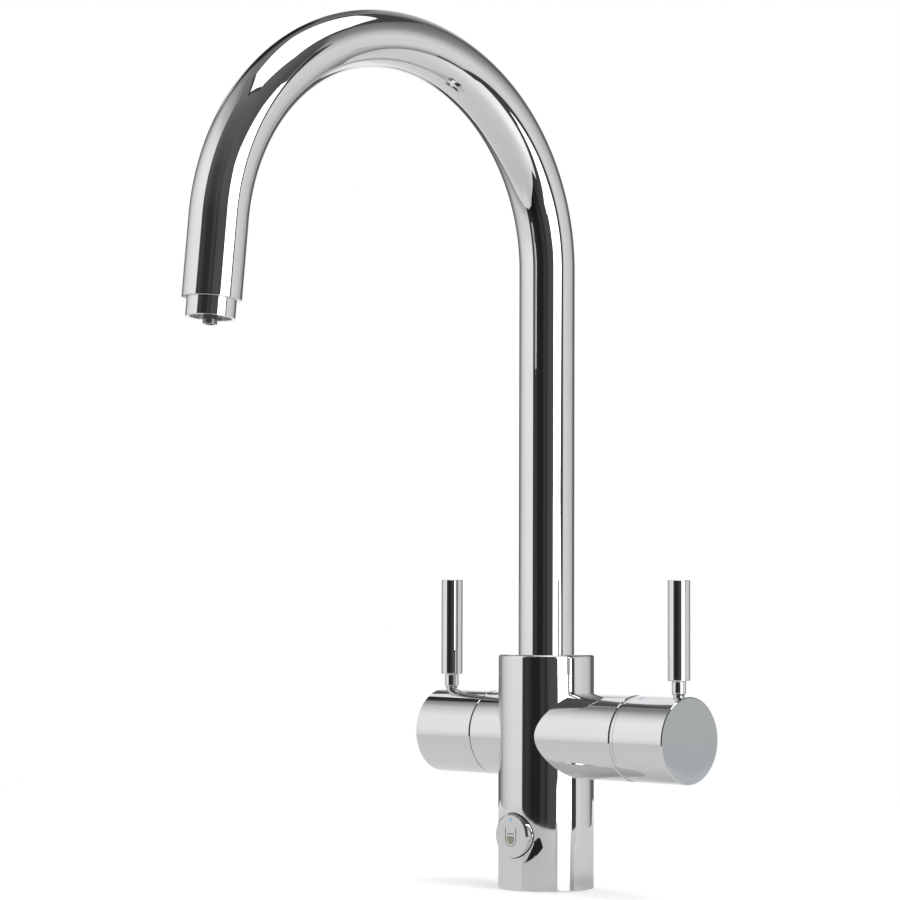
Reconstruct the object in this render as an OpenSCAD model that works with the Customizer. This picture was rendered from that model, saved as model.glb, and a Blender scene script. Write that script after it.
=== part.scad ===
// Deck-mounted boiling water tap: an upright body with two side handles, a tall swan-neck spout
// that swivels, and a push button for near-boiling water on the front of the base.
// Origin: centre of the base on the worktop. +Z up, the user stands at -Y, +X is the user's right.

/* [Body] */
// Diameter of the upright body
body_d = 45; // [44:0.5:50]
// Height of the upright body
body_h = 109.2; // [107:0.2:125]
// Rounding of the body's top edge
body_edge = 1.4; // [0.5:0.1:2]
// Rounding of the body's foot
foot_edge = 0.4; // [0.2:0.1:0.8]
// Height of the arm axis above the worktop
arm_z = 71.6; // [69:0.2:73]
// Diameter of the arms and of the handle caps
arm_d = 39.6; // [39:0.2:42]
// Left arm, from the body axis to its joint
left_arm = 31; // [30:0.5:40]
// Right arm, from the body axis to its joint
right_arm = 56.4; // [52:0.2:65]
// Chamfer on the turned rims of arms and caps
rim_edge = 0.3; // [0.2:0.05:0.5]

/* [Base] */
// Minor diameter of the thread that takes the hollow fixing shank
shank_d = 31.4; // [28:0.2:33]
// Length of the shank thread
shank_len = 12; // [8:0.5:12]
// Wall of the hollow base above the thread
base_wall = 3.5; // [3.2:0.1:4]
// Height of the hollow base
hollow_h = 40; // [39.5:0.5:44]
// Mean diameter of the base seal
seal_d = 37.4; // [36.8:0.2:38.6]
// Width of the base seal
seal_w = 2.8; // [2:0.1:3]
// Depth of the base seal's groove
seal_t = 1.6; // [1:0.1:2]

/* [Water ways] */
// Minor diameter of the hose tail threads
tail_d = 6.92; // [6:0.01:8]
// Depth of the hose tail threads
tail_depth = 9; // [7:0.5:10]
// Diameter of the drilled water ways
way_d = 4.6; // [3.5:0.1:5]
// Half the distance between the two inlets of a cartridge
inlet_half = 5.5; // [5:0.1:6]
// Inlets below the arm axis
inlet_drop = 4.5; // [4:0.1:5]
// Outlet above the arm axis
outlet_rise = 5; // [4:0.1:5.5]
// Distance of the rising ways from the body axis
riser_x = 9.5; // [9:0.1:10.5]
// Distance of the mixed water's way up from the body axis
mixed_x = 7.5; // [7:0.1:8]

/* [Spout] */
// Outside diameter of the spout tube
tube_d = 26.3; // [25:0.1:28]
// Wall of the spout tube
tube_wall = 1.5; // [1.2:0.1:1.8]
// Radius of the swan neck, at the tube's centre
neck_r = 98.2; // [80:0.2:120]
// Height of the centre of the swan neck
neck_z = 289.8; // [200:0.2:320]
// Angle swept by the swan neck
neck_sweep = 174.4; // [150:0.2:180]
// Straight tube after the swan neck
tail_len = 35.7; // [26:0.1:60]
// Spout turned from straight ahead, towards +X
spout_turn = -3.5; // [-40:0.5:40]
// Swivel to each side of straight ahead
swivel_limit = 70; // [30:1:80]

/* [Swivel joint] */
// How much slimmer the swivel stem is in the body than in the tube, all round
stem_step = 0.15; // [0.1:0.05:0.4]
// Depth of the stem's socket below the body's top
socket_h = 25; // [24:0.2:25.6]
// Space under the stem, for the mixed water
stem_space = 3; // [2:0.1:4]
// Bore of the stem
stem_bore = 16; // [15.5:0.1:16.5]
// Depth of the seat that the tube stands in
tube_seat = 2.2; // [1.5:0.1:3]
// Thickness of the slip washer under the tube
slip_t = 0.8; // [0.5:0.1:1]
// Thickness of the swivel's sealing rings
swivel_ring_w = 1.5; // [1.2:0.1:1.6]
// Width of the groove that the retaining screw runs in
track_w = 4; // [3.8:0.1:4.4]
// Diameter of the retaining screw
keeper_d = 5; // [4.5:0.1:6]
// Diameter of the retaining screw's nose
keeper_nose = 3.6; // [3:0.1:3.7]

/* [Outlet] */
// Diameter of the outlet ring
outlet_d = 21.8; // [21:0.1:22.4]
// Length of the outlet ring below the tube
outlet_len = 8; // [6:0.1:12]
// Diameter of the outlet ring's thread
outlet_thread = 20.4; // [19.6:0.1:20.6]
// Wall of the outlet ring
outlet_wall = 1.8; // [1.5:0.1:2]
// Diameter of the hot water nozzle
nozzle_d = 6.4; // [5.5:0.1:7]
// Bore of the hot water nozzle
nozzle_bore = 4.2; // [3.4:0.1:4.4]
// Nozzle below the outlet ring
nozzle_out = 2.9; // [1:0.1:6]
// Aerator set back in the outlet ring
aerator_back = 0.9; // [0.5:0.1:1.5]
// Outside diameter of the inner tube
inner_d = 8; // [7.4:0.1:9]
// Wall of the inner tube
inner_wall = 1; // [0.8:0.1:1.2]

/* [Cartridges] */
// Diameter of a ceramic cartridge
cart_d = 25; // [24.6:0.1:25.2]
// Length of a cartridge's housing without its neck
cart_len = 18; // [17:0.2:19]
// Length of the neck
cart_neck = 6; // [5:0.2:7]
// Outside diameter of the neck
cart_neck_d = 13; // [12:0.1:14]
// Thickness of each ceramic disc
disc_t = 3; // [2.5:0.1:3.2]
// Diameter of the ceramic discs
disc_d = 20.8; // [20:0.1:21]
// Diameter of the spindle
spindle_d = 8; // [7.5:0.1:8.5]
// Thread diameter of the clamp nut
nut_d = 29; // [28.8:0.1:29.4]
// Hexagon of the clamp nut, across flats
nut_hex = 28.4; // [28:0.1:28.6]
// Height of the clamp nut's hexagon
nut_hex_h = 4; // [3:0.2:4.6]
// Square end of the spindle, across flats
drive_w = 5.6; // [5:0.1:5.8]
// Turn of a handle from closed to fully open
handle_turn = 100; // [60:1:130]

/* [Handles] */
// Left handle cap, from the body axis to its flat end
left_end = 67; // [66:0.2:75]
// Right handle cap, from the body axis to its flat end
right_end = 88; // [86:0.2:96]
// Left lever, from the body axis
left_lever_x = 62.1; // [60.5:0.1:63]
// Right lever, from the body axis
right_lever_x = 81.5; // [80:0.1:84]
// Wall of the handle caps
cap_wall = 2.2; // [1.8:0.1:2.6]
// Gap between an arm or trim ring and its cap
cap_gap = 0.4; // [0.3:0.05:0.6]
// Width of the right trim ring
trim_w = 1.85; // [1.4:0.05:3]
// Trim ring below the surface of the arm
trim_drop = 0.6; // [0.3:0.05:1]
// Diameter of the hub inside a cap
hub_d = 16; // [15:0.2:18]
// Diameter of the lever rods
lever_d = 10.2; // [8:0.1:12]
// Top of the levers above the arm axis
lever_top = 72.4; // [50:0.2:90]
// Lower end of the rod above the arm axis
rod_foot = 26.9; // [24:0.1:32]
// Diameter of the levers' slim necks
lever_neck_d = 6.5; // [5.6:0.1:7]
// Thread diameter of the levers
lever_thread = 5; // [4:0.1:5.4]
// Thread length of the levers
lever_thread_len = 8; // [5:0.2:9]
// Diameter of the handle grub screws
grub_d = 4; // [3:0.1:4.4]

/* [Button] */
// Height of the button's centre
button_z = 25.5; // [25:0.1:26.4]
// Diameter of the button
button_d = 20.6; // [19.6:0.1:21]
// Diameter of the button's flat face
face_d = 18.8; // [17:0.1:19.2]
// Button face in front of the body's surface
face_out = 1.7; // [1.5:0.1:3]
// Bevel depth around the button's face
face_bevel = 0.9; // [0.5:0.1:1.4]
// Gap around the button
button_gap = 0.35; // [0.25:0.05:0.5]
// Travel of the button
button_travel = 1.2; // [0.6:0.1:1.3]
// Thickness of the button's face
face_t = 1.8; // [1.4:0.1:2.2]
// Wall of the button
button_wall = 1.3; // [1:0.1:1.6]
// Light above the button's centre
light_up = 7.4; // [7:0.1:7.5]
// Diameter of the light
light_d = 1.5; // [1:0.1:1.8]
// Height of the cup sign
sign_h = 9.2; // [7:0.1:9.4]
// Width of the cup sign
sign_w = 7; // [5:0.1:7.4]
// Line width of the cup sign
sign_line = 0.45; // [0.3:0.05:0.6]
// Mean diameter of the button's spring
spring_d = 10; // [9.6:0.1:10.4]
// Wire of the button's spring
spring_wire = 0.7; // [0.5:0.05:0.8]
// Turns of the button's spring
spring_turns = 5; // [3:1:6]

/* [Hidden] */
$fn = 64;

fit = 0.05;       // radial clearance of a running fit
slack = 0.1;      // radial clearance of a thread or a slip-in part
over = 1;         // how far a cut runs past the face that it opens
lap = 0.5;        // overlap where the straight end of a pipe joins its bend
lap_step = 0.01;  // radial step of that overlap

chrome = "gainsboro";
dark_rubber = "dimgray";
white_plastic = "whitesmoke";
ceramic = "ivory";
bare_brass = "goldenrod";

body_r = body_d / 2;
arm_r = arm_d / 2;
tube_r = tube_d / 2;
tube_in = tube_r - tube_wall;
stem_r = tube_in - fit - stem_step;
stem_d = 2 * stem_r;

// Cartridge levels, counted outwards from the seat in the arm
flange_at = 4;
flange_t = 2;
floor_t = 2.5;
disc_top = floor_t + 2 * disc_t;
seat_depth = 15;  // cartridge seat below the arm's end
left_seat = left_arm - seat_depth;
right_seat = right_arm - seat_depth;
left_hex = left_arm;
right_hex = right_arm + trim_w;
neck_top = cart_len + cart_neck;
thrust_t = 3.5;   // space for the spindle's flange
stop_t = 1.9;     // depth of the stop track
stop_in = 5.3;
stop_out = 9.7;
stop_lug = 30;    // angle of the spindle's stop lug
stop_play = 1;    // angle left at each end of the stop track
port_ring_w = 1;
port_ring_t = 1.2;
shaft_ring_w = 1.2;
shaft_groove = 1.6;
spindle_ring_z = neck_top - 3;
tongue_l = 13.8;
tongue_w = 3;
tongue_in = 0.9;  // how far the tongue reaches into the turning disc
disc_pocket_in = 3;
disc_pocket_out = 8.2;
disc_pocket_t = 1.2;
disc_pocket_turn = 110;

left_open = left_arm + cap_gap;
right_open = right_hex + cap_gap;
block_back = 4.5; // solid end of a cap begins this far inside the lever
left_block = left_lever_x - block_back;
right_block = right_lever_x - block_back;
hub_start = 5;    // hub begins this far outside the cartridge's neck
spindle_back = 0.6;

socket_floor = body_h - socket_h;
stem_foot = socket_floor + stem_space;
tube_foot = body_h - tube_seat + slip_t;
tube_gap = 0.3;   // around the tube where it enters the body
track_z = body_h - tube_seat - 4.5;
stem_up = 14;     // how far the stem reaches up into the tube
track_deep = 1.55;
ring_groove = swivel_ring_w + 0.5;
first_ring = 2.6; // lower sealing ring above the stem's foot
ring_pitch = 4.4;
swivel_ring_z = [for (i = [0, 1]) stem_foot + first_ring + i * ring_pitch];
plug_depth = 4.8;
plug_d = 9;
plug_top = socket_floor - 0.2;
plug_foot = socket_floor - plug_depth + 0.4;
inner_foot = socket_floor + 0.8;
barb = 8;         // length of a spigot inside the inner tube
spigot_d = inner_d - 2 * inner_wall - 2 * fit;
spigot_bore = 3.4;

bush_len = 12;
bush_face = tail_len - 0.5;
thread_len = 6;
outlet_end = tail_len + outlet_len;
inner_end = tail_len - 4;
aerator_foot = tail_len - 3;
aerator_end = outlet_end - aerator_back;
outlet_in = outlet_d - 2 * outlet_wall;
outlet_ledge = outlet_in - 2.4;
aerator_d = outlet_in - 2 * slack;
hub_ring = nozzle_d + 2 * slack;

hollow_r = body_r - base_wall;
face_y = body_r + face_out;
land_y = body_r - 5;            // flat land inside the wall, behind the button
carrier_d = button_d + 3.4;
pocket_r = carrier_d / 2 + 0.2;
gasket_t = 0.8;
gasket_in = button_d / 2 + button_gap + 0.05;
flange_y = land_y - gasket_t;   // front of the button's flange
button_flange_t = 1.2;
flange_d = carrier_d - 0.4;
carrier_y = flange_y - button_flange_t - button_travel - 0.3;
board_y = carrier_y - 2.1;
board_t = 1.2;
board_d = carrier_d - 4.4;
board_back = board_y - board_t;
carrier_back = board_back - 1.5;
tab_t = 2.4;                    // tab under the roof of the hollow
carrier_screw_d = 2.5;
carrier_screw_l = 5;            // in the roof
carrier_head_d = 4.2;
tab_screw = [7, carrier_back - carrier_head_d / 2 - slack];   // right of the axis, in front
switch_w = 6;
switch_y = board_y + 2.1;
switch_tip_y = switch_y + 0.6;
lamp_h = 1.6;
socket_back = carrier_back - 2.8;   // cable socket behind the board
socket_w = 9;
socket_t = 4.5;
plug_w = 7.4;
plug_t = 3;
plug_reach = 2;

// ---------- frames ----------

// Children are drawn outwards along +Z from the body axis, with the lever at -X
module arm_frame(side) {
    translate([0, 0, arm_z])
        if (side == "right") rotate([0, 90, 0]) children();
        else mirror([1, 0, 0]) rotate([0, 90, 0]) children();
}

// Children are drawn with the spout straight ahead and turned with it
module spout_frame() rotate([0, 0, spout_turn]) children();

// Children are drawn along +Z down the spout's straight end, from the end of the swan neck
module tail_frame() {
    spout_frame() translate([0, -neck_r, neck_z]) rotate([90, 0, 90])
        rotate([0, 0, neck_sweep]) translate([neck_r, 0, 0]) rotate([-90, 0, 0]) children();
}

// Children are drawn along +Z out of the front of the base, with +Y up
module button_frame() translate([0, 0, button_z]) rotate([90, 0, 0]) children();

// ---------- shared shapes ----------

module ring(outer_d, inner_d, from, to) {
    translate([0, 0, from]) difference() {
        cylinder(d = outer_d, h = to - from);
        translate([0, 0, -over]) cylinder(d = inner_d, h = to - from + 2 * over);
    }
}

module rod(d, from, to) translate([0, 0, from]) cylinder(d = d, h = to - from);

// Sealing ring of round section, outside diameter given
module o_ring(outer_d, thick, z) {
    translate([0, 0, z]) rotate_extrude() translate([(outer_d - thick) / 2, 0])
        circle(d = thick, $fn = 32);
}

// Groove for a sealing ring on a shaft
module shaft_ring_groove(d, z) {
    ring(d + over, d - 2 * shaft_ring_w, z - shaft_groove / 2, z + shaft_groove / 2);
}

// Part of a ring, centred on the angle "middle"
module sector(r_in, r_out, from, to, angle, middle) {
    rotate([0, 0, middle - angle / 2]) rotate_extrude(angle = angle)
        translate([r_in, from]) square([r_out - r_in, to - from]);
}

// Swan neck of a pipe: straight up, round the neck and down the straight end
module swan_neck(outer_d, inner_d, foot, end) {
    spout_frame() {
        ring(outer_d, inner_d, foot, neck_z);
        translate([0, -neck_r, neck_z]) rotate([90, 0, 90])
            rotate_extrude(angle = neck_sweep) translate([neck_r, 0]) difference() {
                circle(d = outer_d);
                circle(d = inner_d);
            }
    }
    tail_frame() ring(outer_d + 2 * lap_step, inner_d - 2 * lap_step, -lap, end);
}

// ---------- body ----------

module body_outside() {
    rotate_extrude() union() {
        polygon([[0, 0], [body_r - foot_edge, 0], [body_r, foot_edge],
            [body_r, body_h - body_edge], [0, body_h - body_edge]]);
        translate([0, body_h - body_edge]) square([body_r - body_edge, body_edge]);
        translate([body_r - body_edge, body_h - body_edge]) intersection() {
            circle(r = body_edge);
            square(body_edge);
        }
    }
    arm_frame("right") rotate_extrude() polygon([
        [0, -left_arm], [arm_r - rim_edge, -left_arm], [arm_r, -left_arm + rim_edge],
        [arm_r, right_arm - rim_edge], [arm_r - rim_edge, right_arm], [0, right_arm]]);
}

// Seat for a cartridge and its clamp nut, open at the arm's end
module cartridge_seat(seat, arm) {
    rod(cart_d + 2 * slack, seat, arm + over);
    rod(nut_d + 2 * slack, seat + flange_at, arm + over);
}

module button_seat() {
    button_frame() {
        rod(button_d + 2 * button_gap, carrier_back, body_r + over);
        rod(2 * pocket_r, carrier_back, land_y);
    }
}

module spout_socket() {
    rod(stem_d + 2 * fit, socket_floor, body_h + over);
    rod(tube_d + 2 * tube_gap, body_h - tube_seat, body_h + over);
    rod(plug_d + 2 * fit, socket_floor - plug_depth, body_h);
}

// Drilled water ways from the hose tails to the cartridges and on to the spout
module water_ways() {
    inlet_z = arm_z - inlet_drop;
    outlet_z = arm_z + outlet_rise;
    for (p = [[-riser_x, -inlet_half], [-riser_x, inlet_half], [riser_x, inlet_half]])
        translate([p[0], p[1], 0]) {
            rod(tail_d, hollow_h - over, hollow_h + tail_depth);
            rod(way_d, hollow_h, inlet_z);
        }
    rod(tail_d, hollow_h - over, hollow_h + tail_depth);
    rod(way_d, hollow_h, socket_floor);
    translate([-mixed_x, 0, 0]) rod(way_d, outlet_z, socket_floor + over);
    arm_frame("left") {
        for (y = [-inlet_half, inlet_half])
            translate([inlet_drop, y, 0]) rod(way_d, riser_x, left_seat + over);
        translate([-outlet_rise, 0, 0]) rod(way_d, mixed_x, left_seat + over);
    }
    arm_frame("right") {
        translate([inlet_drop, inlet_half, 0]) rod(way_d, riser_x, right_seat + over);
        translate([-outlet_rise, 0, 0]) rod(way_d, 0, right_seat + over);
    }
}

module body() {
    color(chrome) difference() {
        body_outside();
        rod(shank_d, -over, shank_len + over);
        rod(2 * hollow_r, shank_len, hollow_h);
        ring(seal_d + seal_w, seal_d - seal_w, -over, seal_t);
        button_seat();
        spout_socket();
        arm_frame("left") cartridge_seat(left_seat, left_arm);
        arm_frame("right") cartridge_seat(right_seat, right_arm);
        water_ways();
        translate([0, 0, track_z]) rotate([-90, 0, 0]) rod(keeper_d, 0, body_r + over);
        translate([tab_screw[0], -tab_screw[1], 0])
            rod(carrier_screw_d + slack, hollow_h - over, hollow_h + carrier_screw_l + 1);
    }
}

module base_seal() {
    color(dark_rubber) ring(seal_d + seal_w - 2 * slack, seal_d - seal_w + 2 * slack, 0, seal_t);
}

// ---------- spout ----------

module slip_washer() {
    color(white_plastic) ring(tube_d, stem_d + 2 * fit, body_h - tube_seat, tube_foot);
}

module spout_tube() color(chrome) swan_neck(tube_d, 2 * tube_in, tube_foot, tail_len);

module swivel_stem() {
    color(bare_brass) spout_frame() difference() {
        union() {
            rod(stem_d, stem_foot, tube_foot);
            rod(2 * (tube_in - fit), tube_foot, tube_foot + stem_up);
        }
        rod(stem_bore, stem_foot - over, tube_foot + stem_up + over);
        for (z = swivel_ring_z)
            ring(stem_d + over, stem_d - 2 * swivel_ring_w, z - ring_groove / 2, z + ring_groove / 2);
        sector(stem_r - track_deep, stem_r + over, track_z - track_w / 2, track_z + track_w / 2,
            2 * (swivel_limit + asin(keeper_nose / 2 / (stem_r - track_deep)) + 0.5), 90);
    }
}

module swivel_rings() {
    color(dark_rubber) for (z = swivel_ring_z) o_ring(stem_d, swivel_ring_w, z);
}

// Grub screw in the back of the body; its nose runs in the stem's groove and limits the swivel
module spout_keeper_screw() {
    nose_in = stem_r - track_deep + 0.3;
    shank_in = stem_r + 0.6;
    shank_out = body_r - 0.6;
    color("silver") translate([0, 0, track_z]) rotate([-90, 0, 0]) difference() {
        union() {
            rod(keeper_nose, nose_in, shank_in);
            rod(keeper_d - 2 * fit, shank_in, shank_out);
        }
        translate([0, 0, shank_out - 2.5]) cylinder(d = 2.9, h = 2.5 + over, $fn = 6);
    }
}

module inner_tube() {
    color(white_plastic) swan_neck(inner_d, inner_d - 2 * inner_wall, inner_foot, inner_end);
}

// Plug that turns in the body and feeds the inner tube
module inner_tube_plug() {
    z_ring = (plug_top + plug_foot) / 2;
    color(bare_brass) spout_frame() difference() {
        union() {
            rod(plug_d, plug_foot, plug_top);
            rod(spigot_d, plug_top, plug_top + barb);
            rod(inner_d, plug_top, inner_foot);
        }
        rod(spigot_bore, plug_foot - over, plug_top + barb + over);
        shaft_ring_groove(plug_d, z_ring);
    }
}

module plug_ring() color(dark_rubber) o_ring(plug_d, shaft_ring_w, (plug_top + plug_foot) / 2);

// ---------- outlet ----------

module outlet_bush() {
    color(bare_brass) tail_frame() difference() {
        rod(2 * (tube_in - fit), tail_len - bush_len, bush_face);
        rod(outlet_thread + 2 * slack, bush_face - thread_len - 1, bush_face + over);
        rod(outlet_thread - 3, tail_len - bush_len - over, bush_face);
    }
}

module outlet_ring() {
    bevel = 0.4;
    top = bush_face - thread_len;
    out_r = outlet_d / 2;
    color(chrome) tail_frame() rotate_extrude() polygon([
        [outlet_ledge / 2, top], [outlet_thread / 2, top], [outlet_thread / 2, bush_face],
        [out_r, bush_face], [out_r, outlet_end - bevel], [out_r - bevel, outlet_end],
        [outlet_in / 2, outlet_end], [outlet_in / 2, aerator_foot],
        [outlet_ledge / 2, aerator_foot]]);
}

module outlet_gasket() {
    color(dark_rubber) tail_frame()
        ring(outlet_thread - 2 * slack, outlet_ledge, bush_face - thread_len - 1,
            bush_face - thread_len);
}

// Aerator: rim, hub and a pierced plate with two rows of holes
module aerator() {
    plate = 1.6;
    rim = 1.2;
    mean_d = (aerator_d + hub_ring) / 2;
    color("gray") tail_frame() difference() {
        rod(aerator_d, aerator_foot + slack, aerator_end);
        rod(hub_ring, aerator_foot, aerator_end + over);
        ring(aerator_d - 2 * rim, hub_ring + 2 * rim, aerator_foot - over, aerator_end - plate);
        for (row = [[mean_d - 2.6, 14], [mean_d + 2.6, 22]])
            for (i = [0 : row[1] - 1]) rotate([0, 0, i * 360 / row[1]])
                translate([row[0] / 2, 0, 0]) rod(1.1, aerator_foot, aerator_end + over);
    }
}

module hot_nozzle() {
    color("dimgray") tail_frame() difference() {
        union() {
            rod(spigot_d, inner_end - barb, inner_end);
            rod(nozzle_d, inner_end, outlet_end + nozzle_out);
        }
        rod(nozzle_bore, inner_end, outlet_end + nozzle_out + over);
        rod(spigot_bore, inner_end - barb - over, inner_end + over);
    }
}

// ---------- ceramic cartridges, drawn outwards from their seat ----------

module port_holes(ports, from, to) {
    for (p = ports) translate([p[0], p[1], 0]) rod(way_d, from, to);
}

mixer_ports = [[inlet_drop, -inlet_half], [inlet_drop, inlet_half], [-outlet_rise, 0]];
valve_ports = [[inlet_drop, inlet_half], [-outlet_rise, 0]];

module cartridge_housing(ports) {
    stop_at = disc_top + thrust_t;
    difference() {
        union() {
            rod(cart_d, 0, cart_len);
            rod(nut_d - 0.4, flange_at, flange_at + flange_t);
            rod(cart_neck_d, cart_len, neck_top);
        }
        rod(disc_d + 2 * fit, floor_t, stop_at);
        sector(stop_in, stop_out, disc_top, stop_at + stop_t,
            handle_turn + stop_lug + 2 * stop_play, 180 + handle_turn / 2);
        rod(spindle_d + 2 * fit, floor_t, neck_top + over);
        port_holes(ports, -over, floor_t + over);
        for (p = ports) translate([p[0], p[1], 0])
            rod(way_d + 2 * port_ring_w + 4 * slack, -over, port_ring_t);
    }
}

module seat_rings(ports) {
    for (p = ports) translate([p[0], p[1], 0])
        ring(way_d + 2 * port_ring_w + 2 * slack, way_d + 2 * slack, 0, port_ring_t);
}

module fixed_disc(ports) {
    difference() {
        rod(disc_d - 2 * fit, floor_t, floor_t + disc_t);
        port_holes(ports, floor_t - over, floor_t + disc_t + over);
    }
}

// Disc with a pocket that joins the inlet to the outlet, and a slot for the spindle's tongue
module turning_disc() {
    difference() {
        rod(disc_d - 2 * fit, floor_t + disc_t, disc_top);
        sector(disc_pocket_in, disc_pocket_out, floor_t + disc_t - over,
            floor_t + disc_t + disc_pocket_t, disc_pocket_turn, 90);
        translate([-tongue_l / 2 - slack, -tongue_w / 2 - slack, disc_top - tongue_in - slack])
            cube([tongue_l + 2 * slack, tongue_w + 2 * slack, tongue_in + slack + over]);
    }
}

// Spindle with its tongue, flange, stop lug, sealed shaft and square end
module spindle(end) {
    flange_top = disc_top + thrust_t - 0.1;
    lug_top = disc_top + thrust_t + stop_t - 0.2;
    difference() {
        union() {
            translate([-tongue_l / 2, -tongue_w / 2, disc_top - tongue_in])
                cube([tongue_l, tongue_w, tongue_in + slack]);
            rod(disc_d - 1.2, disc_top + fit, flange_top);
            sector(stop_in + 0.2, stop_out - 0.2, disc_top + fit, lug_top, stop_lug, 180);
            rod(spindle_d, disc_top + fit, neck_top);
            translate([-drive_w / 2, -drive_w / 2, neck_top - 0.5])
                cube([drive_w, drive_w, end - neck_top + 0.5]);
        }
        shaft_ring_groove(spindle_d, spindle_ring_z);
    }
}

module spindle_ring() o_ring(spindle_d, shaft_ring_w, spindle_ring_z);

// Ring nut that clamps the cartridge's flange into the arm
module clamp_nut(seat, hex) {
    difference() {
        union() {
            rod(nut_d, seat + flange_at + flange_t, hex);
            translate([0, 0, hex]) cylinder(d = nut_hex / cos(30), h = nut_hex_h, $fn = 6);
        }
        rod(cart_d + 0.4, seat, hex + nut_hex_h + over);
    }
}

// ---------- handles, drawn outwards from the body axis ----------

module handle_cap(open, seat, block, end, lever_u) {
    hub = seat + neck_top + hub_start;
    face_edge = 0.45;
    difference() {
        rotate_extrude() polygon([[0, open], [arm_r - rim_edge, open], [arm_r, open + rim_edge],
            [arm_r, end - face_edge], [arm_r - face_edge, end], [0, end]]);
        ring(2 * (arm_r - cap_wall), hub_d, hub, block);
        rod(2 * (arm_r - cap_wall), open - over, hub);
        translate([-drive_w / 2 - fit, -drive_w / 2 - fit, hub - over])
            cube([drive_w + 2 * fit, drive_w + 2 * fit, block - hub + over]);
        translate([0, 0, lever_u]) rotate([0, -90, 0])
            rod(lever_thread + 2 * fit, arm_r - lever_thread_len - 0.5, arm_r + over);
        translate([0, 0, (hub + block) / 2]) rotate([0, 90, 0]) rod(grub_d, 0, arm_r + over);
    }
}

// Turned lever: thread, slim neck and rod, in one piece
module lever(lever_u) {
    edge = 0.5;
    neck_r0 = lever_neck_d / 2;
    thread_r = lever_thread / 2;
    neck_foot = arm_r + 0.3;
    neck_chamfer = 1.1;
    translate([0, 0, lever_u]) rotate([0, -90, 0]) rotate_extrude() polygon([
        [0, arm_r - lever_thread_len], [thread_r, arm_r - lever_thread_len],
        [thread_r, neck_foot], [neck_r0, neck_foot + neck_chamfer], [neck_r0, rod_foot],
        [lever_d / 2 - 0.3, rod_foot], [lever_d / 2, rod_foot + 0.3],
        [lever_d / 2, lever_top - edge], [lever_d / 2 - edge, lever_top], [0, lever_top]]);
}

module grub_screw(seat, block) {
    hub = seat + neck_top + hub_start;
    tip = drive_w / 2 + 0.1;
    top = hub_d / 2 - 0.2;
    translate([0, 0, (hub + block) / 2]) rotate([0, 90, 0]) difference() {
        rod(grub_d - 2 * fit, tip, top);
        translate([0, 0, top - 1.8]) cylinder(d = 2.3, h = 1.8 + over, $fn = 6);
    }
}

module from_seat(side, seat) arm_frame(side) translate([0, 0, seat]) children();

module left_cartridge() color("gold") from_seat("left", left_seat) cartridge_housing(mixer_ports);
module left_fixed_disc() color(ceramic) from_seat("left", left_seat) fixed_disc(mixer_ports);
module left_turning_disc() color(ceramic) from_seat("left", left_seat) turning_disc();
module left_spindle() {
    color(bare_brass) from_seat("left", left_seat) spindle(left_block - spindle_back - left_seat);
}
module left_spindle_ring() color(dark_rubber) from_seat("left", left_seat) spindle_ring();
module left_seat_rings() color(dark_rubber) from_seat("left", left_seat) seat_rings(mixer_ports);
module left_clamp_nut() color(bare_brass) arm_frame("left") clamp_nut(left_seat, left_hex);
module left_cap() {
    color(chrome) arm_frame("left")
        handle_cap(left_open, left_seat, left_block, left_end, left_lever_x);
}
module left_lever() color(chrome) arm_frame("left") lever(left_lever_x);
module left_grub_screw() color("silver") arm_frame("left") grub_screw(left_seat, left_block);

module right_cartridge() color("gold") from_seat("right", right_seat) cartridge_housing(valve_ports);
module right_fixed_disc() color(ceramic) from_seat("right", right_seat) fixed_disc(valve_ports);
module right_turning_disc() color(ceramic) from_seat("right", right_seat) turning_disc();
module right_spindle() {
    color(bare_brass) from_seat("right", right_seat) spindle(right_block - spindle_back - right_seat);
}
module right_spindle_ring() color(dark_rubber) from_seat("right", right_seat) spindle_ring();
module right_seat_rings() color(dark_rubber) from_seat("right", right_seat) seat_rings(valve_ports);
module right_clamp_nut() color(bare_brass) arm_frame("right") clamp_nut(right_seat, right_hex);
module right_trim_ring() {
    color(chrome) arm_frame("right")
        ring(arm_d - 2 * trim_drop, nut_d + 2 * slack, right_arm, right_hex);
}

index_u = right_open + 6.2;
index_w = 0.9;
index_arc = 10.5;
index_at = 180 + 18;
index_t = 0.3;

module index_shape(out) {
    sector(arm_r - index_t, out, index_u - index_w / 2, index_u + index_w / 2, index_arc, index_at);
}

module right_cap() {
    color(chrome) arm_frame("right") difference() {
        handle_cap(right_open, right_seat, right_block, right_end, right_lever_x);
        index_shape(arm_r + over);
    }
}
module right_lever() color(chrome) arm_frame("right") lever(right_lever_x);
module right_grub_screw() color("silver") arm_frame("right") grub_screw(right_seat, right_block);
module right_index() color("slateblue") arm_frame("right") index_shape(arm_r);

// ---------- button ----------

sign_t = 0.25;
sign_shift = -0.5;

module cup_outline(inset) {
    r = sign_w / 2 - inset;
    top = sign_h / 2;
    foot = -sign_h / 2 + inset;
    translate([-r, foot + r]) square([2 * r, top - foot - r]);
    translate([0, foot + r]) circle(r = r, $fn = 48);
}

// Cup sign: the glass, the water line and the water below it
module cup_sign() {
    level = sign_h * 0.12;
    translate([0, sign_shift]) {
        difference() {
            cup_outline(0);
            cup_outline(sign_line);
            translate([-sign_w, sign_h / 2 - sign_line]) square([2 * sign_w, sign_line + over]);
        }
        translate([-sign_w * 0.3, level]) square([sign_w * 0.6, sign_line]);
        intersection() {
            cup_outline(sign_line * 2.6);
            translate([-sign_w, -sign_h]) square([2 * sign_w, sign_h + level - 2 * sign_line]);
        }
    }
}

module sign_shape(t) translate([0, 0, face_y - sign_t]) linear_extrude(height = t) cup_sign();

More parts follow.
